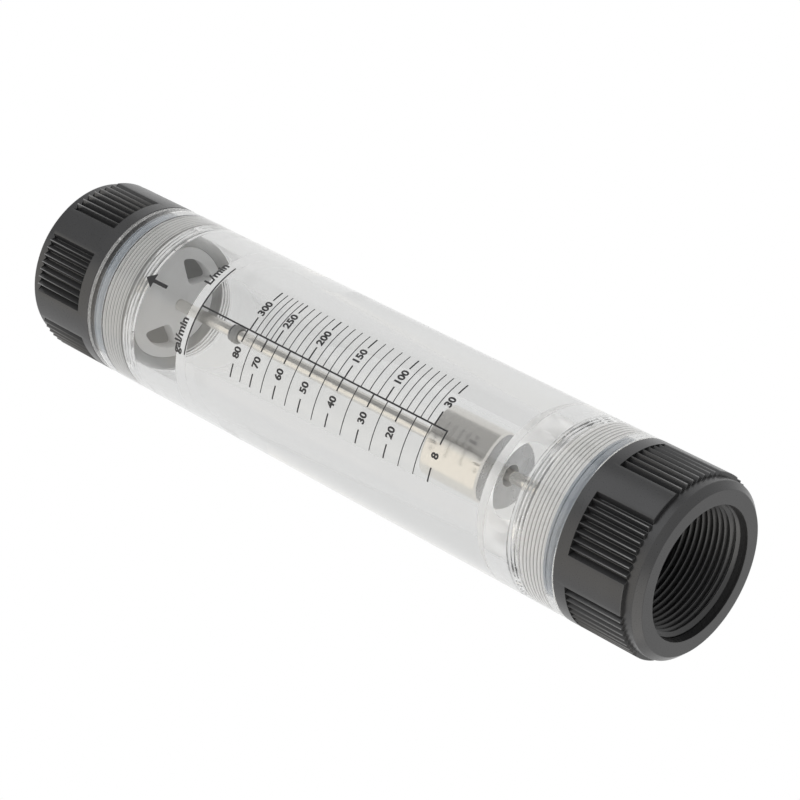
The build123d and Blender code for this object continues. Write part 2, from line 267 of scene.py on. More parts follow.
def mouldedPlastic(name, low, high, roughLow, roughHigh, grain=2600.0, relief=0.00001):
    # moulded plastic: faint clouding in its colour, finer grain in its gloss and relief
    material, nodes, links, shader = startMaterial(name, {"Specular IOR Level": 0.5, "IOR": 1.5})
    cloud = spread(nodes, links, 55.0, 3.0)
    links.new(colourRamp(nodes, links, cloud.outputs["Fac"], low, high), shader.inputs["Base Color"])
    fine = spread(nodes, links, grain, 2.0)
    links.new(valueRange(nodes, links, fine.outputs["Fac"], roughLow, roughHigh), shader.inputs["Roughness"])
    addBump(nodes, links, shader, fine.outputs["Fac"], 0.6, relief)
    return material


def ribbedPlastic(name):
    # black moulded plastic, with a painted highlight where the crest attribute marks the edges of the ribs
    material, nodes, links, shader = startMaterial(name, {"Specular IOR Level": 0.5, "IOR": 1.5})
    cloud = spread(nodes, links, 55.0, 3.0)
    plain = colourRamp(nodes, links, cloud.outputs["Fac"], (0.035, 0.035, 0.036), (0.043, 0.043, 0.044))
    crest = nodes.new("ShaderNodeAttribute")
    crest.attribute_name = "crest"
    blend = nodes.new("ShaderNodeMix")
    blend.data_type = "RGBA"
    links.new(crest.outputs["Fac"], blend.inputs[0])
    links.new(plain, blend.inputs[6])
    # the painted highlight's colour on the rib crests
    blend.inputs[7].default_value = (0.26, 0.26, 0.26, 1)
    links.new(blend.outputs[2], shader.inputs["Base Color"])
    fine = spread(nodes, links, 2600.0, 2.0)
    links.new(valueRange(nodes, links, fine.outputs["Fac"], 0.26, 0.36), shader.inputs["Roughness"])
    addBump(nodes, links, shader, fine.outputs["Fac"], 0.5, 0.000008)
    return material


def turnedMetal(name, low, high, roughLow, roughHigh, lines=9000.0, relief=0.000002):
    # turned steel: fine rings across the axis on its sides, soft clouding in its gloss
    material, nodes, links, shader = startMaterial(name, {"Metallic": 1.0})
    ring = spread(nodes, links, lines, 2.0, (0.02, 0.02, 1.0))
    cloud = spread(nodes, links, 90.0, 4.0)
    links.new(colourRamp(nodes, links, ring.outputs["Fac"], low, high), shader.inputs["Base Color"])
    links.new(valueRange(nodes, links, cloud.outputs["Fac"], roughLow, roughHigh), shader.inputs["Roughness"])
    addBump(nodes, links, shader, ring.outputs["Fac"], 0.35, relief)
    return material


def clearAcrylic(name, tintLow, tintHigh, roughLow, roughHigh, bend=1.49, paintedCutGlow=0.0):
    # cast acrylic: clear, faintly grey in its depth, with the least waviness in its polish; a cut face can be given
    # a painted glow that stands in for the light that the solid gathers
    material, nodes, links, shader = startMaterial(name, {
        "Transmission Weight": 1.0, "IOR": bend, "Specular IOR Level": 0.5,
        "Emission Color": (1.0, 0.99, 0.98, 1.0), "Emission Strength": paintedCutGlow})
    wave = spread(nodes, links, 30.0, 2.0)
    links.new(colourRamp(nodes, links, wave.outputs["Fac"], tintLow, tintHigh), shader.inputs["Base Color"])
    links.new(valueRange(nodes, links, wave.outputs["Fac"], roughLow, roughHigh), shader.inputs["Roughness"])
    return material


# radii and colours of the tape's painted shade in the thread roots and painted highlight on the crests
tape = {"rootRadius": 0.02745, "crestRadius": 0.0285, "root": (0.34, 0.335, 0.325), "crest": (0.97, 0.965, 0.95)}


def threadTape(name, rootShadeEdge, crestHighlightEdge, paintedGlow):
    # pale tape in a thread: painted shade makes it darker in the roots and a painted highlight makes it lighter on the
    # crests, by distance from the axis;
    # a painted glow stands in for the light that the clear wall gathers
    material, nodes, links, shader = startMaterial(name, {"Roughness": 0.5, "Emission Strength": paintedGlow})
    place = nodes.new("ShaderNodeTexCoord")
    flat = nodes.new("ShaderNodeVectorMath")
    flat.operation = "MULTIPLY"
    flat.inputs[1].default_value = (1.0, 1.0, 0.0)
    reach = nodes.new("ShaderNodeVectorMath")
    reach.operation = "LENGTH"
    links.new(place.outputs["Object"], flat.inputs[0])
    links.new(flat.outputs["Vector"], reach.inputs[0])
    share = valueRange(nodes, links, reach.outputs["Value"], 0.0, 1.0, tape["rootRadius"], tape["crestRadius"])
    paintedShadeAndHighlight = colourRamp(nodes, links, share, tape["root"], tape["crest"], rootShadeEdge, crestHighlightEdge)
    links.new(paintedShadeAndHighlight, shader.inputs["Base Color"])
    links.new(paintedShadeAndHighlight, shader.inputs["Emission Color"])
    return material


finish = {
    "fitting": ribbedPlastic("fittingPlastic"),
    "sleeve": mouldedPlastic("sleevePlastic", (0.034, 0.034, 0.036), (0.042, 0.042, 0.044), 0.30, 0.42),
    "wrap": threadTape("threadWrap", 0.10, 0.60, 0.24),
    "farWrap": threadTape("farThreadWrap", 0.50, 0.97, 0.13),
    "sawnGlow": threadTape("sawnEndPaintedGlow", 0.10, 0.60, 0.72),
    "guide": mouldedPlastic("guidePlastic", (0.90, 0.90, 0.90), (0.95, 0.95, 0.95), 0.38, 0.48),
    "rubber": mouldedPlastic("stopRubber", (0.38, 0.38, 0.37), (0.45, 0.45, 0.44), 0.5, 0.62),
    "seal": mouldedPlastic("sealRubber", (0.56, 0.61, 0.67), (0.62, 0.67, 0.73), 0.35, 0.48),
    "bush": mouldedPlastic("bushPlastic", (0.62, 0.60, 0.56), (0.70, 0.68, 0.64), 0.36, 0.46),
    "float": turnedMetal("floatSteel", (0.86, 0.835, 0.79), (0.91, 0.885, 0.84), 0.14, 0.20),
    "rod": turnedMetal("rodSteel", (0.84, 0.82, 0.78), (0.90, 0.88, 0.84), 0.12, 0.18),
    "fastener": turnedMetal("fastenerSteel", (0.50, 0.50, 0.50), (0.58, 0.58, 0.58), 0.24, 0.32),
    "clip": turnedMetal("clipSteel", (0.26, 0.26, 0.27), (0.34, 0.34, 0.35), 0.30, 0.38),
    "clear": clearAcrylic("clearAcrylic", (0.655, 0.658, 0.652), (0.680, 0.683, 0.677), 0.0, 0.002),
    "turned": clearAcrylic("turnedAcrylic", (0.975, 0.976, 0.976), (0.990, 0.991, 0.991), 0.0, 0.004),
    "milkyGlow": clearAcrylic("milkyGlowingAcrylic", (0.985, 0.985, 0.985), (0.995, 0.995, 0.995), 0.32, 0.42, 1.12, 0.26),
    "ink": mouldedPlastic("scaleInk", (0.012, 0.012, 0.013), (0.02, 0.02, 0.021), 0.45, 0.55),
}
print("finishes made")


# The clear body

sizes = {
    "bodyLow": 34.0, "bodyHigh": 262.2, "total": 296.2, "bodyRadius": 33.25, "printDepth": 0.03,
    "sealBore": 29.6, "sealLength": 6.0, "chamberRadius": 26.3,
    "threadLowEnd": 56.2, "threadHighEnd": 240.0,
}

bodyTooth = [(0.0, 1.0), (0.12, 1.0), (0.44, 0.0), (0.60, 0.0), (0.92, 1.0)]   # flats joined by straight flanks

body = {
    "columns": 216, "edge": 0.4, "boreLow": 75.4, "boreHigh": 217.4, "boreStart": 14.15, "boreEnd": 17.45,
    "stepHeight": 73.9, "stepRadius": 18.8, "coneStart": 67.5, "threadPitch": 1.5,
    "threadMinor": 27.6, "threadMajor": 28.5, "threadDatum": 40.0, "threadEase": 1.2,
    "insideZone": (0.0, 32.0, 0.0, 300.0), "coneZone": (14.2, 26.25, 67.5, 75.4),
    "sawnZone": (29.7, 33.2, 261.85, 262.4),
    "lowTapeZone": (27.0, 29.0, 40.1, 50.6), "highTapeZone": (27.0, 29.0, 245.6, 256.1),
}


def femaleThread(low, high):
    # the clear body's thread between two heights
    return {"low": low, "high": high, "datum": body["threadDatum"], "pitch": body["threadPitch"],
            "minor": body["threadMinor"], "major": body["threadMajor"], "tooth": bodyTooth,
            "ease": body["threadEase"], "inside": True}


def makeBody():
    # outside up, across the top, then down through both threads, both chambers and the widening bore
    turns = evenTurns(body["columns"])
    outer = sizes["bodyRadius"] - sizes["printDepth"]
    low, high, edge = sizes["bodyLow"], sizes["bodyHigh"], body["edge"]
    seal, major, chamber = sizes["sealBore"], body["threadMajor"], sizes["chamberRadius"]
    lowThread, highThread = low + sizes["sealLength"], high - sizes["sealLength"]
    lowEnd, highEnd = sizes["threadLowEnd"], sizes["threadHighEnd"]
    outside = [(major, lowThread), (seal, lowThread), (seal, low), (outer - edge, low), (outer, low + edge),
               (outer, high - edge), (outer - edge, high), (seal, high), (seal, highThread), (major, highThread)]
    between = [(major, highEnd), (chamber, highEnd), (chamber, body["boreHigh"]), (body["boreEnd"], body["boreHigh"]),
               (body["boreStart"], body["boreLow"]), (body["stepRadius"], body["stepHeight"]),
               (chamber, body["coneStart"]), (chamber, lowEnd), (major, lowEnd)]
    return [turnedPatch(eased(outside, 0.12), turns), threadPatch(femaleThread(highEnd, highThread), turns, True),
            turnedPatch(eased(between, 0.15), turns), threadPatch(femaleThread(lowThread, lowEnd), turns, True)]


clearBody = makePiece("clearBody", makeBody(), finish["clear"], "meter", ["body_tube"])
giveZone(clearBody, finish["turned"], body["insideZone"])        # only the outside carries the tint
giveZone(clearBody, finish["milkyGlow"], body["coneZone"])           # the cone and the bore's mouth, as cut, with a painted glow
giveZone(clearBody, finish["sawnGlow"], body["sawnZone"])            # the far end of the bar, as sawn, pale with a strong painted glow
giveZone(clearBody, finish["wrap"], body["lowTapeZone"])         # sealing tape pressed into the threads, with painted shade in its roots and a painted glow
giveZone(clearBody, finish["farWrap"], body["highTapeZone"])
print("clear body made")


# The fittings and their sleeves

fitting = {
    "length": 34.0, "neckRadius": 31.7, "neckChamfer": 2.3, "neckLength": 5.7, "collar": 5.0, "socketFloor": 29.0,
    "mouthRadius": 24.1, "mouthDepth": 1.3, "mouthCone": 1.6, "passage": 19.52, "threadDepth": 27.0,
    "spigot": 16.7, "land": 29.35, "grooveStart": 2.1, "grooveWidth": 3.0, "grooveFloor": 27.4,
    "seatRadius": 22.0, "tapeEdge": 25.3, "guideThickness": 5.0, "maleMinor": 27.45, "maleMajor": 28.4,
    "pipeMinor": 22.42, "pipeMajor": 23.9, "pipePitch": 2.309, "pipeEase": 1.6, "ribSoft": 0.18, "edge": 0.15,
}

sleeve = {
    "inletTape": (27.2, 29.0, 40.0, 50.6), "outletTape": (25.2, 29.0, 245.4, 256.2),   # pale tape on the threads
    "inletPaste": (27.0, 29.6, 33.9, 40.05), "outletPaste": (27.0, 29.6, 256.15, 260.3),
    "outletBore": (0.0, 21.0, 250.4, 270.0), "outletEnd": (21.9, 25.3, 245.3, 245.8),
}

ribs = {
    "zones": 6, "perZone": 8, "pitch": 5.0, "depth": 2.4, "crest": 0.24, "bottom": 0.22, "shoulder": 0.88,
    "inletTurn": -11.2, "outletTurn": -21.9, "plainSteps": 9,
    "inletHighlightSpan": (5.0, 28.9), "outletHighlightSpan": (267.3, 291.0),   # heights between which a highlight is painted on the crests
}

pipeTooth = [(0.0, 1.0), (0.09, 0.95), (0.17, 0.78), (0.42, 0.16),
             (0.50, 0.0), (0.58, 0.0), (0.66, 0.16), (0.91, 0.78)]


def ribColumns(turn):
    # angles of the columns round a fitting and the radius of the ribbed stretch at each:
    # each groove is a V whose depth falls in a straight line from its floor to the crests beside it
    half = np.degrees(np.arctan((sizes["bodyRadius"] * np.tan(radians(ribs["pitch"] / 2)) - ribs["crest"] / 2)
                                / sizes["bodyRadius"]))
    shoulder, bottom = half * ribs["shoulder"], ribs["bottom"]
    across = np.array([-ribs["pitch"] / 2, -half, -shoulder, -bottom, bottom, shoulder, half])
    cut = np.array([0.0, 0.03, 0.17, 0.97, 0.97, 0.17, 0.03]) * ribs["depth"]
    grooves = (np.arange(ribs["perZone"]) - (ribs["perZone"] - 1) / 2) * ribs["pitch"]
    zoneAngles = (grooves[:, None] + across[None, :]).ravel()
    zoneCut = np.tile(cut, ribs["perZone"])
    zoneWidth, zonePitch = ribs["perZone"] * ribs["pitch"], 360.0 / ribs["zones"]
    plain = np.linspace(zoneWidth / 2, zonePitch - zoneWidth / 2, ribs["plainSteps"])[:-1]
    oneZone = np.concatenate([zoneAngles, plain])
    oneCut = np.concatenate([zoneCut, np.zeros(len(plain))])
    middles = 270.0 + turn + np.arange(ribs["zones"]) * zonePitch
    angles = np.radians((middles[:, None] + oneZone[None, :]).ravel())
    return angles, sizes["bodyRadius"] - np.tile(oneCut, ribs["zones"])


def fittingPatches(turn):
    # the inlet fitting, from its mouth up to its socket and back down through the pipe thread
    f = fitting
    angles, ribRadius = ribColumns(turn)
    full = np.full_like(ribRadius, sizes["bodyRadius"])
    neck = np.full_like(ribRadius, f["neckRadius"])
    atNeck = np.maximum(ribRadius, f["neckRadius"])
    ribEnd, length, edge = f["length"] - f["collar"], f["length"], f["edge"]
    bottom = [(f["mouthRadius"], f["mouthDepth"]), (f["mouthRadius"], 0.0), (f["neckRadius"] - f["neckChamfer"], 0.0),
              (f["neckRadius"], f["neckChamfer"]), (f["neckRadius"], f["neckLength"])]
    soft = atNeck - f["ribSoft"] * (ribRadius > f["neckRadius"] + 0.3)
    ribStart = f["neckLength"] + f["ribSoft"]
    ribbed = shapedPatch([neck, soft, atNeck, ribRadius, ribRadius, full, full],
                         [f["neckLength"], f["neckLength"], ribStart, ribStart, ribEnd, ribEnd, length - edge], angles)
    inner = [(sizes["bodyRadius"], length - edge), (sizes["bodyRadius"] - edge, length), (f["seatRadius"], length),
             (f["seatRadius"], f["socketFloor"]), (f["passage"], f["socketFloor"]), (f["passage"], f["threadDepth"]),
             (f["pipeMajor"], f["threadDepth"])]
    coneTop = f["mouthDepth"] + f["mouthCone"]
    pipe = {"low": coneTop, "high": f["threadDepth"], "datum": 0.0, "pitch": f["pipePitch"], "minor": f["pipeMinor"],
            "major": f["pipeMajor"], "tooth": pipeTooth, "ease": f["pipeEase"], "inside": True}
    mouth = [(f["pipeMajor"], coneTop), (f["mouthRadius"], f["mouthDepth"])]
    return [turnedPatch(eased(bottom, 0.2), angles), ribbed, turnedPatch(eased(inner, 0.12), angles),
            threadPatch(pipe, angles, True), turnedPatch(mouth, angles)]


def sleevePatches():
    # the inlet sleeve, from its bonded shank out round the seal groove, up its thread and down the guide's pocket
    f = fitting
    turns = evenTurns(body["columns"])
    length, g, w = f["length"], f["length"] + f["grooveStart"], f["grooveWidth"]
    threadStart, spigotEnd = length + sizes["sealLength"], length + f["spigot"]
    guideSeat = spigotEnd - f["guideThickness"]
    lower = [(f["passage"], guideSeat), (f["passage"], f["socketFloor"]), (f["seatRadius"], f["socketFloor"]),
             (f["seatRadius"], length), (f["land"], length), (f["land"], g), (f["grooveFloor"], g),
             (f["grooveFloor"], g + w), (f["land"], g + w), (f["land"], threadStart), (f["maleMinor"], threadStart)]
    upper = [(f["maleMinor"], spigotEnd), (f["tapeEdge"], spigotEnd), (f["seatRadius"], spigotEnd),
             (f["seatRadius"], guideSeat), (f["passage"], guideSeat)]
    male = {"low": threadStart, "high": spigotEnd, "datum": body["threadDatum"], "pitch": body["threadPitch"],
            "minor": f["maleMinor"], "major": f["maleMajor"], "tooth": bodyTooth, "ease": body["threadEase"],
            "inside": False}
    return [turnedPatch(eased(lower, 0.1), turns), threadPatch(male, turns), turnedPatch(eased(upper, 0.15), turns)]


def turnedOver(patches):
    # the same patches half a turn about the Y axis: x = -x and height = total - height, so threads keep their hand
    half, lift = np.array([-1.0, 1.0, -1.0]), np.array([0.0, 0.0, sizes["total"]])
    return [(points * half + lift, faces) for points, faces in patches]


def markCrests(piece, turn, low, high):
    # 1 on the points at a rib's crest, where a highlight is painted: near the full radius, between two heights, and
    # within a ribbed stretch
    mesh = piece.data
    points = np.empty(len(mesh.vertices) * 3)
    mesh.vertices.foreach_get("co", points)
    x, y, height = points.reshape(-1, 3).T / mm
    zonePitch, halfZone = 360.0 / ribs["zones"], ribs["perZone"] * ribs["pitch"] / 2
    fromMiddle = (np.degrees(np.arctan2(y, x)) - 270.0 - turn + zonePitch / 2) % zonePitch - zonePitch / 2
    chosen = (np.hypot(x, y) > sizes["bodyRadius"] - 0.15) & (np.abs(fromMiddle) < halfZone - 1.0)
    chosen &= (height > low) & (height < high)
    crest = mesh.attributes.new("crest", "FLOAT", "POINT")
    crest.data.foreach_set("value", chosen.astype(np.float32))


inletFitting = makePiece("inletFitting", fittingPatches(ribs["inletTurn"]), finish["fitting"], "meter",
                         ["inlet_fitting"])
outletFitting = makePiece("outletFitting", turnedOver(fittingPatches(-ribs["outletTurn"])), finish["fitting"], "meter",
                          ["outlet_fitting"])
markCrests(inletFitting, ribs["inletTurn"], *ribs["inletHighlightSpan"])
markCrests(outletFitting, ribs["outletTurn"], *ribs["outletHighlightSpan"])
inletSleeve = makePiece("inletSleeve", sleevePatches(), finish["sleeve"], "meter", ["inlet_sleeve"])
outletSleeve = makePiece("outletSleeve", turnedOver(sleevePatches()), finish["sleeve"], "meter", ["outlet_sleeve"])
giveZone(inletSleeve, finish["wrap"], sleeve["inletTape"])
giveZone(outletSleeve, finish["farWrap"], sleeve["outletTape"])
# the outlet sleeve's bore and the ring at its end take the grey stop finish, lighter than the rest of the sleeve
giveZone(outletSleeve, finish["rubber"], sleeve["outletBore"])
giveZone(outletSleeve, finish["rubber"], sleeve["outletEnd"])
giveZone(inletSleeve, finish["seal"], sleeve["inletPaste"])          # seal paste on the lands beside the ring
giveZone(outletSleeve, finish["seal"], sleeve["outletPaste"])
print("fittings and sleeves made")


# Seal rings, rod, stops, bushes and float

small = {
    "columns": 96, "ringFloor": 27.4, "ringSeat": 29.6, "ringCorner": 0.7, "ringHalf": 1.4,
    "inletRing": 37.6, "outletRing": 258.6,
    "rod": 2.25, "rodEnd": 2.0, "rodTip": 1.6, "rodLow": 40.2, "rodHigh": 256.0, "thickLow": 50.7, "thickHigh": 245.5,
    "clipGroove": 1.75, "clipOuter": 3.2, "clipThickness": 0.6,
    "stop": 3.45, "stopEdge": 0.5, "lowerStop": (85.0, 88.2), "upperStop": (208.8, 212.0),
    "bushBore": 2.3, "bush": 3.2, "flange": 3.9, "flangeThickness": 1.2, "bushLength": 6.0,
    "washer": 4.5, "washerThickness": 0.8, "lowerWasher": 44.9, "upperWasher": 250.5,
    "nutFlats": 7.0, "nutHeight": 3.2, "lowerNut": 41.7, "upperNut": 251.3,
}

moving = {
    "columns": 192, "radius": 13.0, "low": 80.4, "high": 106.9, "topEdge": 1.6, "lowEdge": 0.7,
    "recess": 4.05, "recessDepth": 9.0, "footZone": (4.2, 12.4, 80.2, 80.5), "paintedLightRecessZone": (0.0, 4.2, 80.6, 89.6),
}


def sealRing(middle):
    # a ring squeezed flat on its groove's floor and on the body's seat, round at its sides
    inner, outer, corner, half = (small[key] for key in ("ringFloor", "ringSeat", "ringCorner", "ringHalf"))
    low, high = middle - half, middle + half
    return closedTurn([(inner + corner, low), (outer - corner, low), (outer, low + corner), (outer, high - corner),
                       (outer - corner, high), (inner + corner, high), (inner, high - corner), (inner, low + corner)],
                      evenTurns(144), 0.4)


makePiece("inletSealRing", [sealRing(small["inletRing"])], finish["seal"], "meter", ["inlet_o_ring"],
          sharpAngle=60)
makePiece("outletSealRing", [sealRing(small["outletRing"])], finish["seal"], "meter", ["outlet_o_ring"],
          sharpAngle=60)


def makeRod():
    # from the lower tip outwards, up past both clip grooves, and back to the axis at the top
    s = small
    tip, end, rod, groove = s["rodTip"], s["rodEnd"], s["rod"], s["clipGroove"]
    low, high = s["rodLow"], s["rodHigh"]
    lowStop, highStop, t, slope = s["lowerStop"][0], s["upperStop"][1], s["clipThickness"], end - tip
    section = [(0.0, low), (tip, low), (end, low + slope), (end, s["thickLow"]), (rod, s["thickLow"]),
               (rod, lowStop - t), (groove, lowStop - t), (groove, lowStop), (rod, lowStop), (rod, highStop),
               (groove, highStop), (groove, highStop + t), (rod, highStop + t), (rod, s["thickHigh"]),
               (end, s["thickHigh"]), (end, high - slope), (tip, high), (0.0, high)]
    return poledTurn(section, evenTurns(s["columns"]), 0.06)


makePiece("guideRod", [makeRod()], finish["rod"], "meter", ["guide_rod"])


def makeStop(low, high):
    # a short rubber tube with rounded rims
    inner, outer, edge = small["rod"], small["stop"], small["stopEdge"]
    return closedTurn([(inner, low), (outer - edge, low), (outer, low + edge), (outer, high - edge),
                       (outer - edge, high), (inner, high)], evenTurns(small["columns"]), 0.35)


# the lower stop takes the paler bush finish rather than the stop rubber: painted light over the shade in the float's
# recess
makePiece("lowerStop", [makeStop(*small["lowerStop"])], finish["bush"], "meter", ["lower_stop"],
          sharpAngle=50)
makePiece("upperStop", [makeStop(*small["upperStop"])], finish["rubber"], "meter", ["upper_stop"],
          sharpAngle=50)


def makeBush(flangeLow, up):
    # a plain bearing with a flange, drawn upwards from its flange or downwards
    bore, wall, flange = small["bushBore"], small["bush"], small["flange"]
    t, length = small["flangeThickness"], small["bushLength"]
    if up:
        section = [(bore, flangeLow), (flange, flangeLow), (flange, flangeLow + t), (wall, flangeLow + t),
                   (wall, flangeLow + length), (bore, flangeLow + length)]
    else:
        low = flangeLow + t - length
        section = [(bore, low), (wall, low), (wall, flangeLow), (flange, flangeLow), (flange, flangeLow + t),
                   (bore, flangeLow + t)]
    return closedTurn(section, evenTurns(small["columns"]), 0.12)


makePiece("floatLowerBush", [makeBush(small["lowerStop"][1], True)], finish["bush"], "float",
          ["float_lower_bush"])
makePiece("floatUpperBush", [makeBush(moving["high"] - small["flangeThickness"], False)], finish["bush"], "float",
          ["float_upper_bush"])


def makeFloat():
    # a steel slug: outside up round its soft top edge, down its bore, over the recess and out under it
    f, s = moving, small
    r, low, high, top = f["radius"], f["low"], f["high"], f["topEdge"]
    swing = np.linspace(0, pi / 2, 12)
    crown = np.stack([r - top + top * np.cos(swing), high - top + top * np.sin(swing)], axis=-1)
    foot = [(f["recess"], low), (r - f["lowEdge"], low), (r, low + f["lowEdge"])]
    seat = high - s["flangeThickness"]
    inside = [(s["flange"], high), (s["flange"], seat), (s["bush"], seat), (s["bush"], low + f["recessDepth"]),
              (f["recess"], low + f["recessDepth"]), (f["recess"], low)]
    turns = evenTurns(f["columns"])
    return [turnedPatch(eased(foot + [crown[0]], 0.12), turns), turnedPatch(crown, turns),
            turnedPatch(eased([crown[-1]] + inside, 0.12), turns)]


floatSlug = makePiece("floatSlug", makeFloat(), finish["float"], "float", ["float_body"])
giveZone(floatSlug, finish["fastener"], moving["footZone"])      # its lower face is duller
giveZone(floatSlug, finish["guide"], moving["paintedLightRecessZone"])       # the recess is painted pale: painted light over its shade
print("float, rod, stops and seals made")


# Washers, nuts and snap rings

def makeWasher(low):
    # a thin flat ring with eased rims
    bore, outer, t = small["rodEnd"] + 0.05, small["washer"], small["washerThickness"]
    return closedTurn([(bore, low), (outer, low), (outer, low + t), (bore, low + t)], evenTurns(72), 0.12)


def makeNut(low):
    # side radius = half the flats over the cosine of the angle to the nearest flat, cut back by a cone at both ends
    half, height, bore = small["nutFlats"] / 2, small["nutHeight"], small["rodEnd"]
    turns = evenTurns(120)
    hexagon = half / np.cos((turns % (pi / 3)) - pi / 6)
    climb = np.array([0.0, 0.12, 0.25, 0.4, 0.6])
    cone = half * 0.98 + climb * 1.7
    heights = low + np.concatenate([[0.0], climb, height - climb[::-1], [height]])
    sides = np.minimum(hexagon[None, :], np.concatenate([cone, cone[::-1]])[:, None])
    rim = np.full((1, len(turns)), bore)
    outside = shapedPatch(np.concatenate([rim, sides, rim]), heights, turns)
    return [outside, turnedPatch([(bore, low + height), (bore, low)], turns)]


def makeClip(low):
    # a flat ring left open over a sixth of a turn: its rectangle carried along the arc, with both ends closed
    inner, outer, t = small["clipGroove"], small["clipOuter"], small["clipThickness"]
    arc = np.linspace(radians(30), radians(330), 61)
    section = eased([(inner, low), (outer, low), (outer, low + t), (inner, low + t)], 0.08, closed=True)
    points = ringPoints(section[:, :1], section[:, 1:], arc[None, :])
    grid = np.arange(len(points)).reshape(len(section), -1)
    ahead = np.roll(grid, -1, axis=0)
    sides = np.stack([grid[:, :-1], grid[:, 1:], ahead[:, 1:], ahead[:, :-1]], -1).reshape(-1, 4)
    return points, sides, [grid[:, 0].tolist(), grid[::-1, -1].tolist()]


def addClip(name, low, node, material):
    # sides from the grid, and one flat face at each end of the ring
    points, sides, ends = makeClip(low)
    mesh = bpy.data.meshes.new(name)
    mesh.from_pydata((points * mm).tolist(), [], sides.tolist() + ends)
    return finishPiece(bpy.data.objects.new(name, mesh), material, "meter", [node])


for name, node in (("lowerWasher", "lower_washer"), ("upperWasher", "upper_washer")):
    makePiece(name, [makeWasher(small[name])], finish["fastener"], "meter", [node])
for name, node in (("lowerNut", "lower_nut"), ("upperNut", "upper_nut")):
    makePiece(name, makeNut(small[name]), finish["fastener"], "meter", [node], sharpAngle=25)
addClip("lowerClip", small["lowerStop"][0] - small["clipThickness"], "lower_clip", finish["fastener"])
addClip("upperClip", small["upperStop"][1], "upper_clip", finish["clip"])
print("fastenings made")


# The guides

guide = {
    "radius": 21.9, "thickness": 5.0, "hole": 2.05, "edge": 0.3, "lowerPlace": 45.7, "upperPlace": 245.5,
    "apex": 8.0, "rim": 17.7, "halfAngle": 34.0, "corner": 2.2, "turn": 264.2,
}


def circleLine(radius, count=120):
    # a closed circle as points
    angle = evenTurns(count)
    return np.stack([radius * np.cos(angle), radius * np.sin(angle)], -1)


def windowLine(turn):
    # pointed towards the hub, with an arc about the axis at the rim
    g = guide
    swing = np.radians(np.linspace(-g["halfAngle"], g["halfAngle"], 17))
    arc = np.stack([g["rim"] * np.cos(swing), g["rim"] * np.sin(swing)], -1)
    apex = np.array([[g["apex"], 0.0]])
    line = eased(np.concatenate([apex, arc[:1], arc[4:13:4], arc[-1:]]), g["corner"], 6, closed=True)
    c, s = np.cos(radians(turn)), np.sin(radians(turn))
    return line @ np.array([[c, s], [-s, c]])


def addGuide(name, low, node):
    # a flat filled curve with its holes, given its thickness and eased edges, then made a mesh at its height
    curve = bpy.data.curves.new(name, "CURVE")
    curve.dimensions = "2D"
    curve.fill_mode = "BOTH"
    edge = guide["edge"]
    curve.extrude = (guide["thickness"] / 2 - edge) * mm
    curve.bevel_depth = edge * mm
    curve.bevel_resolution = 2
    curve.offset = -edge * mm
    lines = [circleLine(guide["radius"]), circleLine(guide["hole"], 48), windowLine(guide["turn"] + 90),
             windowLine(guide["turn"] - 90)]
    for line in lines:
        addOutline(curve, line)
    mesh = curveMesh(name, curve)
    mesh.transform(Matrix.Translation((0, 0, (low + guide["thickness"] / 2) * mm)))
    work = bmesh.new()
    work.from_mesh(mesh)
    bmesh.ops.remove_doubles(work, verts=work.verts, dist=2e-6)
    bmesh.ops.recalc_face_normals(work, faces=work.faces)
    work.to_mesh(mesh)
    work.free()
    return finishPiece(bpy.data.objects.new(name, mesh), finish["guide"], "meter", [node])


addGuide("lowerGuide", guide["lowerPlace"], "lower_guide")
addGuide("upperGuide", guide["upperPlace"], "upper_guide")
print("guides made")


# The printed scale

ink = {
    "low": 33.21, "high": 33.245, "front": 264.2, "heavy": 0.62, "thin": 0.38,
    "middle": -5.8, "lineLow": 90.4, "lineHigh": 209.9, "header": (-38.2, 27.2),
    "right": {"inner": (-15.0, -6.0), "outer": (-37.5, -29.2), "whole": (-37.5, -6.0), "number": -22.1, "unit": -28.5},
    "left": {"inner": (-5.6, 2.9), "outer": (17.1, 25.8), "whole": (-5.6, 25.8), "number": 9.9, "unit": 16.4},
    "rightNumbers": (30, 100, 150, 200, 250, 300), "leftNumbers": (8, 20, 30, 40, 50, 60, 70, 80),
    "numberSize": 4.1, "unitSize": 4.7, "unitHeight": 214.0, "arrowHeight": 234.0, "weight": 0.17,
    "arrowOutline": [(0.7, -5.5), (0.7, 1.5), (2.9, 1.5), (0.1, 5.5)],   # the half to the right of its middle
}

rightScale = {30: 96.5, 40: 99.8, 50: 102.9, 60: 106.3, 70: 109.4, 80: 112.7, 90: 115.9, 100: 119.1, 110: 123.1,
              120: 126.9, 130: 130.9, 140: 134.8, 150: 138.8, 160: 142.2, 170: 145.8, 180: 149.3, 190: 152.7,
              200: 156.2, 210: 159.4, 220: 162.7, 230: 166.0, 240: 169.2, 250: 172.7, 260: 175.0, 270: 177.5,
              280: 180.1, 290: 182.7, 300: 185.4}
leftScale = {8: 90.7, 10: 97.5, 15: 104.4, 20: 111.3, 25: 117.9, 30: 124.5, 35: 131.8, 40: 139.1, 45: 145.8,
             50: 152.5, 55: 158.8, 60: 164.9, 65: 170.9, 70: 176.3, 75: 181.3, 80: 186.2}


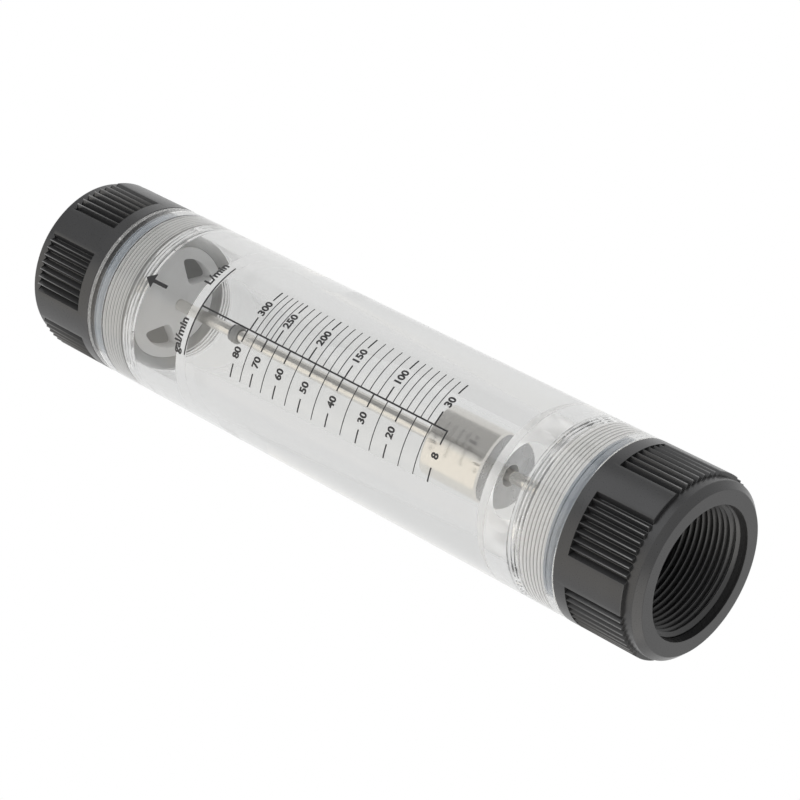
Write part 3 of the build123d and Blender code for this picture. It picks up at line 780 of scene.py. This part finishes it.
def inkBar(phiStart, phiEnd, low, high):
    # a thin curved slab on the body: four walls carried along an arc, with both ends closed
    steps = max(2, int(abs(phiEnd - phiStart) / 1.5) + 2)
    turns = np.radians(ink["front"] - np.linspace(phiEnd, phiStart, steps))
    radii = np.array([ink["low"], ink["high"], ink["high"], ink["low"]])[:, None]
    heights = np.array([low, low, high, high])[:, None]
    points = ringPoints(radii, heights, turns[None, :])
    grid = np.arange(4 * steps).reshape(4, steps)
    ahead = np.roll(grid, -1, axis=0)
    sides = np.stack([grid[:, :-1], grid[:, 1:], ahead[:, 1:], ahead[:, :-1]], -1).reshape(-1, 4)
    ends = np.stack([grid[:, 0], grid[::-1, -1]])
    return points, np.concatenate([sides, ends])


def across(height, phiStart, phiEnd, width):
    # a graduation line at one height
    return inkBar(phiStart, phiEnd, height - width / 2, height + width / 2)


def along(phi, low, high, width):
    # a line up the body
    half = np.degrees(width / 2 / sizes["bodyRadius"])
    return inkBar(phi - half, phi + half, low, high)


def scaleBars():
    # the middle line with its foot and header, then the lines of both scales
    bars = [along(ink["middle"], ink["lineLow"], ink["lineHigh"], ink["heavy"]),
            across(ink["lineHigh"], *ink["header"], ink["heavy"])]
    for side, scale, numbers in (("right", rightScale, ink["rightNumbers"]), ("left", leftScale, ink["leftNumbers"])):
        reach = ink[side]
        for number, height in scale.items():
            if number in numbers:
                bars += [across(height, *reach["inner"], ink["heavy"]), across(height, *reach["outer"], ink["heavy"])]
            else:
                bars.append(across(height, *reach["whole"], ink["thin"]))
    return bars


makePiece("scaleLines", scaleBars(), finish["ink"], "meter", sharpAngle=30)


def bendPrint(name, curve, phi, height):
    # a flat filled curve cut into narrow strips, then bent round: turn = front - phi + distance / radius
    mesh = curveMesh(name, curve)
    flat = np.empty(len(mesh.vertices) * 3)
    mesh.vertices.foreach_get("co", flat)
    work = bmesh.new()
    work.from_mesh(mesh)
    bmesh.ops.remove_doubles(work, verts=work.verts, dist=1e-6)
    for cut in np.arange(flat[::3].min(), flat[::3].max(), 0.5 * mm)[1:]:
        everything = list(work.verts) + list(work.edges) + list(work.faces)
        bmesh.ops.bisect_plane(work, geom=everything, plane_co=(cut, 0, 0), plane_no=(1, 0, 0), dist=1e-8)
    raised = bmesh.ops.extrude_face_region(work, geom=list(work.faces))
    moved = [item for item in raised["geom"] if isinstance(item, bmesh.types.BMVert)]
    bmesh.ops.translate(work, verts=moved, vec=(0, 0, (ink["high"] - ink["low"]) * mm))
    bmesh.ops.recalc_face_normals(work, faces=work.faces)
    work.to_mesh(mesh)
    work.free()
    flat = np.empty(len(mesh.vertices) * 3)
    mesh.vertices.foreach_get("co", flat)
    flat = flat.reshape(-1, 3)
    turn = radians(ink["front"] - phi) + flat[:, 0] / (sizes["bodyRadius"] * mm)
    bent = ringPoints(ink["low"] * mm + flat[:, 2], height * mm + flat[:, 1], turn)
    mesh.vertices.foreach_set("co", bent.ravel())
    return finishPiece(bpy.data.objects.new(name, mesh), finish["ink"], "meter", sharpAngle=30)


def addLabel(name, text, phi, height, size):
    # lettering set flat and thickened, then bent round
    curve = bpy.data.curves.new(name, "FONT")
    curve.body = text
    curve.size = size * mm
    curve.align_x, curve.align_y = "CENTER", "CENTER"
    curve.offset = ink["weight"] * mm
    curve.resolution_u = 3
    return bendPrint(name, curve, phi, height)


def addArrow(name, phi, height):
    # a plain arrow that shows which way the flow goes
    curve = bpy.data.curves.new(name, "CURVE")
    curve.dimensions, curve.fill_mode = "2D", "BOTH"
    half = ink["arrowOutline"]
    addOutline(curve, np.array(half + [(-x, y) for x, y in half[::-1]]))
    return bendPrint(name, curve, phi, height)


for number in ink["rightNumbers"]:
    addLabel("rightNumber%d" % number, str(number), ink["right"]["number"], rightScale[number], ink["numberSize"])
for number in ink["leftNumbers"]:
    addLabel("leftNumber%d" % number, str(number), ink["left"]["number"], leftScale[number], ink["numberSize"])
addLabel("rightUnit", "L/min", ink["right"]["unit"], ink["unitHeight"], ink["unitSize"])
addLabel("leftUnit", "gal/min", ink["left"]["unit"], ink["unitHeight"], ink["unitSize"])
addArrow("flowArrow", ink["middle"], ink["arrowHeight"])
print("scale printed")


# Stage, lights and camera

studio = {
    "floorSize": 6.0, "floorHeight": -0.0002, "floorLow": (0.93, 0.93, 0.93), "floorHigh": (0.95, 0.95, 0.95),
    "fillBelow": 0.30, "fillAbove": 0.95, "horizon": (-0.3, 0.3),
    "lens": 128.89, "cameraPlace": (-0.0816, -0.8032, -0.4521),
    "right": (0.50978, 0.47289, -0.71869), "up": (0.85588, -0.36351, 0.36789), "forward": (0.08728, 0.80265, 0.59003),
    "middle": (0.0, 0.0, 0.14),
    "cards": [   # seen in reflections only: they give the steel its dark side and its warm bright side
        {"toward": (0.472, -0.661, 0.59), "rim": (0.80, 0.90), "colour": (0.46, 0.46, 0.46)},
        {"toward": (-0.602, -0.538, 0.59), "rim": (0.84, 0.92), "colour": (1.36, 1.30, 1.21)},
    ],
    "lowPanel": {"place": (0.1, -0.75, -0.35), "size": 0.9, "power": 3.0, "colour": (1.0, 0.96, 0.90)},
    "highPanel": {"place": (-0.4, 0.8, -0.5), "size": 0.8, "power": 2.0, "colour": (0.97, 0.98, 1.0)},
}


def addFloor():
    # a pale floor that is clear from below, so that a low camera looks through it
    half, height = studio["floorSize"] / 2, studio["floorHeight"]
    mesh = bpy.data.meshes.new("floor")
    mesh.from_pydata([(-half, -half, height), (half, -half, height), (half, half, height), (-half, half, height)],
                     [], [(0, 1, 2, 3)])
    floor = bpy.data.objects.new("floor", mesh)
    scene.collection.objects.link(floor)
    material, nodes, links, shader = startMaterial("floorPaper", {"Roughness": 0.9})
    cloud = spread(nodes, links, 4.0, 2.0)
    links.new(colourRamp(nodes, links, cloud.outputs["Fac"], studio["floorLow"], studio["floorHigh"]),
              shader.inputs["Base Color"])
    side = nodes.new("ShaderNodeNewGeometry")
    clear = nodes.new("ShaderNodeBsdfTransparent")
    mix = nodes.new("ShaderNodeMixShader")
    links.new(side.outputs["Backfacing"], mix.inputs["Fac"])
    links.new(shader.outputs["BSDF"], mix.inputs[1])
    links.new(clear.outputs["BSDF"], mix.inputs[2])
    links.new(mix.outputs["Shader"], nodes["Material Output"].inputs["Surface"])
    mesh.materials.append(material)
    floor.visible_shadow = floor.visible_diffuse = floor.visible_glossy = floor.visible_transmission = False
    return floor


def setWorld():
    # white for what is seen directly, in gloss and through glass, and for the rest a fill that is dimmer from below
    world = bpy.data.worlds.new("studio")
    scene.world = world
    world.use_nodes = True
    nodes, links = world.node_tree.nodes, world.node_tree.links
    background = nodes["Background"]
    ray = nodes.new("ShaderNodeLightPath")
    seen = nodes.new("ShaderNodeMath")
    seen.operation = "MAXIMUM"
    links.new(ray.outputs["Is Camera Ray"], seen.inputs[0])
    links.new(ray.outputs["Is Glossy Ray"], seen.inputs[1])
    both = nodes.new("ShaderNodeMath")
    both.operation = "MAXIMUM"
    links.new(seen.outputs["Value"], both.inputs[0])
    links.new(ray.outputs["Is Transmission Ray"], both.inputs[1])
    level = nodes.new("ShaderNodeMapRange")
    level.inputs["To Max"].default_value = 1.0
    links.new(both.outputs["Value"], level.inputs["Value"])
    place = nodes.new("ShaderNodeTexCoord")
    parts = nodes.new("ShaderNodeSeparateXYZ")
    links.new(place.outputs["Generated"], parts.inputs["Vector"])
    fill = valueRange(nodes, links, parts.outputs["Z"], studio["fillBelow"], studio["fillAbove"], *studio["horizon"])
    links.new(fill, level.inputs["To Min"])
    links.new(level.outputs["Result"], background.inputs["Strength"])
    reflected = nodes.new("ShaderNodeMath")      # 1 once a ray has been reflected
    reflected.operation = "GREATER_THAN"
    reflected.inputs[1].default_value = 0.5
    links.new(ray.outputs["Glossy Depth"], reflected.inputs[0])
    colour = nodes.new("ShaderNodeRGB").outputs["Color"]
    colour.default_value = (1, 1, 1, 1)
    for card in studio["cards"]:
        facing = nodes.new("ShaderNodeVectorMath")
        facing.operation = "DOT_PRODUCT"
        facing.inputs[1].default_value = card["toward"]
        links.new(place.outputs["Generated"], facing.inputs[0])
        within = nodes.new("ShaderNodeMapRange")
        within.interpolation_type = "SMOOTHSTEP"
        within.inputs["From Min"].default_value, within.inputs["From Max"].default_value = card["rim"]
        links.new(facing.outputs["Value"], within.inputs["Value"])
        share = nodes.new("ShaderNodeMath")
        share.operation = "MULTIPLY"
        links.new(within.outputs["Result"], share.inputs[0])
        links.new(reflected.outputs["Value"], share.inputs[1])
        blend = nodes.new("ShaderNodeMix")
        blend.data_type = "RGBA"
        links.new(share.outputs["Value"], blend.inputs[0])
        links.new(colour, blend.inputs[6])
        blend.inputs[7].default_value = (*card["colour"], 1)
        colour = blend.outputs[2]
    links.new(colour, background.inputs["Color"])


def addPanel(name, floor):
    # a soft square light at a distance along picture right, picture up and forward, aimed at the middle;
    # the floor is left to the plain fill
    right, up, forward, middle = (Vector(studio[key]) for key in ("right", "up", "forward", "middle"))
    panel = studio[name]
    lamp = bpy.data.lights.new(name, "AREA")
    lamp.size, lamp.energy, lamp.color = panel["size"], panel["power"], panel["colour"]
    item = bpy.data.objects.new(name, lamp)
    scene.collection.objects.link(item)
    item.visible_transmission = False
    left = bpy.data.collections.new(name + "LeavesOut")
    left.objects.link(floor)
    item.light_linking.receiver_collection = left
    left.collection_objects[0].light_linking.link_state = "EXCLUDE"
    aside, over, ahead = panel["place"]
    item.location = middle + right * aside + up * over + forward * ahead
    item.rotation_euler = (middle - item.location).to_track_quat("-Z", "Y").to_euler()


def addCamera():
    # placed and turned by the photograph's own axes
    right, up, forward = (Vector(studio[key]).normalized() for key in ("right", "up", "forward"))
    data = bpy.data.cameras.new("camera")
    data.sensor_width = 36.0
    data.lens = studio["lens"]
    data.clip_start, data.clip_end = 0.01, 20.0
    camera = bpy.data.objects.new("camera", data)
    scene.collection.objects.link(camera)
    turn = Matrix((right, up, -forward)).transposed().to_4x4()
    camera.matrix_world = Matrix.Translation(studio["cameraPlace"]) @ turn
    scene.camera = camera


floor = addFloor()
setWorld()
addPanel("lowPanel", floor)
addPanel("highPanel", floor)
addCamera()
scene.view_settings.view_transform = "Standard"
scene.cycles.max_bounces = 32             # enough for light that turns many times inside the clear body
scene.cycles.glossy_bounces = 24
scene.cycles.transmission_bounces = 24
print("studio set")
